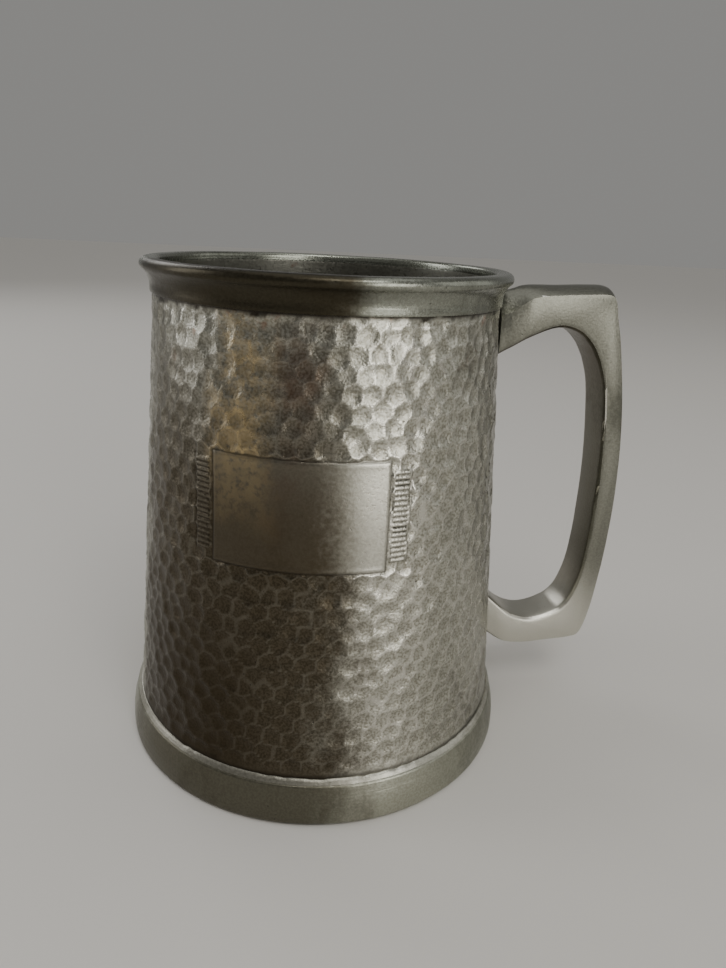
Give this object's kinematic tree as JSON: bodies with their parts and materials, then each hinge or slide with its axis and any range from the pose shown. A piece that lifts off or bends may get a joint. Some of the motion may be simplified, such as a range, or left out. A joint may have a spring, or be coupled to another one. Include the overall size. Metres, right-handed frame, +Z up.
{
  "type": "pewter tankard",
  "caption": "Lidless pint tankard: tapered hammered sheet cup with a blank name panel, turned lip band, plain foot band and a square-shouldered D handle.",
  "frame": {"origin": "centre of the foot band's resting ring, on the cup's axis, at table height", "axes": "+Z up along the cup's axis, +X from the axis towards the handle"},
  "size_m": [0.1272, 0.0962, 0.115],
  "materials": {
    "hammered_pewter": "hammered sheet, dull grey with dark patina in the hollows",
    "rim_pewter": "turned, satin, darkened",
    "foot_pewter": "cast and turned, satin, worn",
    "plate_pewter": "sheet, dull and darkened",
    "handle_pewter": "cast, satin with fine grain",
    "solder": "soft solder, slightly brighter than the pewter"
  },
  "bodies": {
    "root": {"body_wall": "hammered_pewter", "side_seam_solder": "solder", "rim_band": "rim_pewter", "rim_solder": "solder", "foot_band": "foot_pewter", "foot_solder": "solder", "bottom_plate": "plate_pewter", "bottom_solder": "solder", "handle": "handle_pewter", "upper_handle_solder": "solder", "lower_handle_solder": "solder"}
  },
  "joints": []
}
